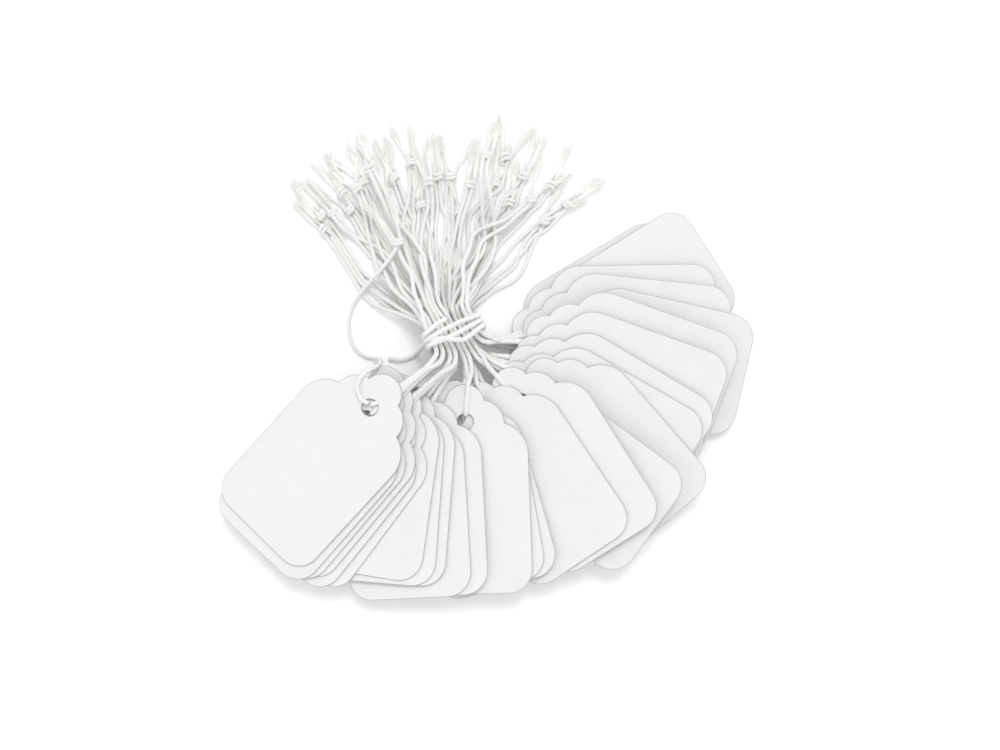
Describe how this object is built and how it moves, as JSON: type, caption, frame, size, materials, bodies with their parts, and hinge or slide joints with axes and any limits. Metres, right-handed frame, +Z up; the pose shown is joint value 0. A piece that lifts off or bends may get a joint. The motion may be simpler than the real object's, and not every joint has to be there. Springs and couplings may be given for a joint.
{
  "type": "bundle of strung merchandise tags",
  "caption": "Blank white scalloped-top card tags, each on its own looped cotton string, fanned out on a table round a cord tie that gathers the strings.",
  "frame": {"origin": "middle of the cards' and the tie's bounding box seen from above, at the height of the table", "axes": "+Z up from the table; +X runs towards the lowest tags, +Y towards the knots and tails of the strings"},
  "size_m": [0.12, 0.1109, 0.0178],
  "materials": {
    "card": "matte, smooth uncoated white card",
    "cotton_string": "matte, soft twisted white cotton"
  },
  "bodies": {
    "bundle": {"tie": "cotton_string", "string_01": "cotton_string", "string_02": "cotton_string", "string_03": "cotton_string", "string_04": "cotton_string", "string_05": "cotton_string", "string_06": "cotton_string", "string_07": "cotton_string", "string_08": "cotton_string", "string_09": "cotton_string", "string_10": "cotton_string", "string_11": "cotton_string", "string_12": "cotton_string", "string_13": "cotton_string", "string_14": "cotton_string", "string_15": "cotton_string", "string_16": "cotton_string", "string_17": "cotton_string", "string_18": "cotton_string", "string_19": "cotton_string", "string_20": "cotton_string", "string_21": "cotton_string", "string_22": "cotton_string", "string_23": "cotton_string", "string_24": "cotton_string", "string_25": "cotton_string", "string_26": "cotton_string", "string_27": "cotton_string"},
    "body_tag_01": {"tag_01": "card"},
    "body_tag_02": {"tag_02": "card"},
    "body_tag_03": {"tag_03": "card"},
    "body_tag_04": {"tag_04": "card"},
    "body_tag_05": {"tag_05": "card"},
    "body_tag_06": {"tag_06": "card"},
    "body_tag_07": {"tag_07": "card"},
    "body_tag_08": {"tag_08": "card"},
    "body_tag_09": {"tag_09": "card"},
    "body_tag_10": {"tag_10": "card"},
    "body_tag_11": {"tag_11": "card"},
    "body_tag_12": {"tag_12": "card"},
    "body_tag_13": {"tag_13": "card"},
    "body_tag_14": {"tag_14": "card"},
    "body_tag_15": {"tag_15": "card"},
    "body_tag_16": {"tag_16": "card"},
    "body_tag_17": {"tag_17": "card"},
    "body_tag_18": {"tag_18": "card"},
    "body_tag_19": {"tag_19": "card"},
    "body_tag_20": {"tag_20": "card"},
    "body_tag_21": {"tag_21": "card"},
    "body_tag_22": {"tag_22": "card"},
    "body_tag_23": {"tag_23": "card"},
    "body_tag_24": {"tag_24": "card"},
    "body_tag_25": {"tag_25": "card"},
    "body_tag_26": {"tag_26": "card"},
    "body_tag_27": {"tag_27": "card"}
  },
  "joints": [
    {"name": "swing_01", "type": "hinge", "parent": "bundle", "child": "body_tag_01", "pos_m": [0.01213, 0.01182, 0.0004], "axis": [0, 0, 1], "range_deg": [-12, 12]},
    {"name": "swing_02", "type": "hinge", "parent": "bundle", "child": "body_tag_02", "pos_m": [0.01863, 0.01382, 0.00114], "axis": [0.0112, -0.0166, 0.9998], "range_deg": [-12, 12]},
    {"name": "swing_03", "type": "hinge", "parent": "bundle", "child": "body_tag_03", "pos_m": [0.01363, 0.01732, 0.00211], "axis": [0.0021, -0.0399, 0.9992], "range_deg": [-12, 12]},
    {"name": "swing_04", "type": "hinge", "parent": "bundle", "child": "body_tag_04", "pos_m": [0.01613, 0.01632, 0.00292], "axis": [-0.0049, -0.0697, 0.9976], "range_deg": [-12, 12]},
    {"name": "swing_05", "type": "hinge", "parent": "bundle", "child": "body_tag_05", "pos_m": [0.02063, 0.01382, 0.00366], "axis": [-0.0152, -0.0783, 0.9968], "range_deg": [-12, 12]},
    {"name": "swing_06", "type": "hinge", "parent": "bundle", "child": "body_tag_06", "pos_m": [0.01663, 0.01382, 0.00507], "axis": [-0.0651, -0.1041, 0.9924], "range_deg": [-12, 12]},
    {"name": "swing_07", "type": "hinge", "parent": "bundle", "child": "body_tag_07", "pos_m": [0.01413, 0.00932, 0.00513], "axis": [-0.0928, -0.1256, 0.9877], "range_deg": [-12, 12]},
    {"name": "swing_08", "type": "hinge", "parent": "bundle", "child": "body_tag_08", "pos_m": [0.01213, 0.00632, 0.00538], "axis": [-0.1025, -0.1238, 0.987], "range_deg": [-12, 12]},
    {"name": "swing_09", "type": "hinge", "parent": "bundle", "child": "body_tag_09", "pos_m": [0.00963, 0.00282, 0.00537], "axis": [-0.1003, -0.1255, 0.987], "range_deg": [-12, 12]},
    {"name": "swing_10", "type": "hinge", "parent": "bundle", "child": "body_tag_10", "pos_m": [0.01513, 0.00232, 0.00657], "axis": [-0.095, -0.1156, 0.9887], "range_deg": [-12, 12]},
    {"name": "swing_11", "type": "hinge", "parent": "bundle", "child": "body_tag_11", "pos_m": [0.00613, -0.00568, 0.00553], "axis": [-0.1707, -0.0724, 0.9827], "range_deg": [-12, 12]},
    {"name": "swing_12", "type": "hinge", "parent": "bundle", "child": "body_tag_12", "pos_m": [0.00713, -0.00018, 0.0074], "axis": [-0.169, -0.0487, 0.9844], "range_deg": [-12, 12]},
    {"name": "swing_13", "type": "hinge", "parent": "bundle", "child": "body_tag_13", "pos_m": [0.00003, -0.00328, 0.00659], "axis": [-0.1705, -0.0491, 0.9841], "range_deg": [-12, 12]},
    {"name": "swing_14", "type": "hinge", "parent": "bundle", "child": "body_tag_14", "pos_m": [-0.00787, -0.00468, 0.00605], "axis": [-0.1502, -0.0176, 0.9885], "range_deg": [-12, 12]},
    {"name": "swing_15", "type": "hinge", "parent": "bundle", "child": "body_tag_15", "pos_m": [-0.00727, -0.00368, 0.00685], "axis": [-0.1424, -0.0202, 0.9896], "range_deg": [-12, 12]},
    {"name": "swing_16", "type": "hinge", "parent": "bundle", "child": "body_tag_16", "pos_m": [-0.00537, -0.00468, 0.0078], "axis": [-0.147, -0.0242, 0.9888], "range_deg": [-12, 12]},
    {"name": "swing_17", "type": "hinge", "parent": "bundle", "child": "body_tag_17", "pos_m": [-0.01587, -0.00518, 0.00696], "axis": [-0.1438, -0.0026, 0.9896], "range_deg": [-12, 12]},
    {"name": "swing_18", "type": "hinge", "parent": "bundle", "child": "body_tag_18", "pos_m": [-0.01987, -0.00568, 0.00716], "axis": [-0.1428, -0.0138, 0.9897], "range_deg": [-12, 12]},
    {"name": "swing_19", "type": "hinge", "parent": "bundle", "child": "body_tag_19", "pos_m": [-0.02087, -0.00218, 0.00786], "axis": [-0.1345, -0.014, 0.9908], "range_deg": [-12, 12]},
    {"name": "swing_20", "type": "hinge", "parent": "bundle", "child": "body_tag_20", "pos_m": [-0.02337, -0.00218, 0.00825], "axis": [-0.1297, -0.0223, 0.9913], "range_deg": [-12, 12]},
    {"name": "swing_21", "type": "hinge", "parent": "bundle", "child": "body_tag_21", "pos_m": [-0.02387, -0.00068, 0.00893], "axis": [-0.1278, -0.0304, 0.9913], "range_deg": [-12, 12]},
    {"name": "swing_22", "type": "hinge", "parent": "bundle", "child": "body_tag_22", "pos_m": [-0.02187, -0.00468, 0.00959], "axis": [-0.1219, -0.0357, 0.9919], "range_deg": [-12, 12]},
    {"name": "swing_23", "type": "hinge", "parent": "bundle", "child": "body_tag_23", "pos_m": [-0.02387, -0.00518, 0.01002], "axis": [-0.125, -0.0423, 0.9913], "range_deg": [-12, 12]},
    {"name": "swing_24", "type": "hinge", "parent": "bundle", "child": "body_tag_24", "pos_m": [-0.02387, -0.00318, 0.01082], "axis": [-0.1301, -0.0491, 0.9903], "range_deg": [-12, 12]},
    {"name": "swing_25", "type": "hinge", "parent": "bundle", "child": "body_tag_25", "pos_m": [-0.02587, -0.00368, 0.01123], "axis": [-0.1365, -0.0557, 0.9891], "range_deg": [-12, 12]},
    {"name": "swing_26", "type": "hinge", "parent": "bundle", "child": "body_tag_26", "pos_m": [-0.02737, -0.00418, 0.0117], "axis": [-0.1413, -0.0627, 0.988], "range_deg": [-12, 12]},
    {"name": "swing_27", "type": "hinge", "parent": "bundle", "child": "body_tag_27", "pos_m": [-0.02637, -0.00168, 0.01272], "axis": [-0.1492, -0.0664, 0.9866], "range_deg": [-12, 12]}
  ]
}
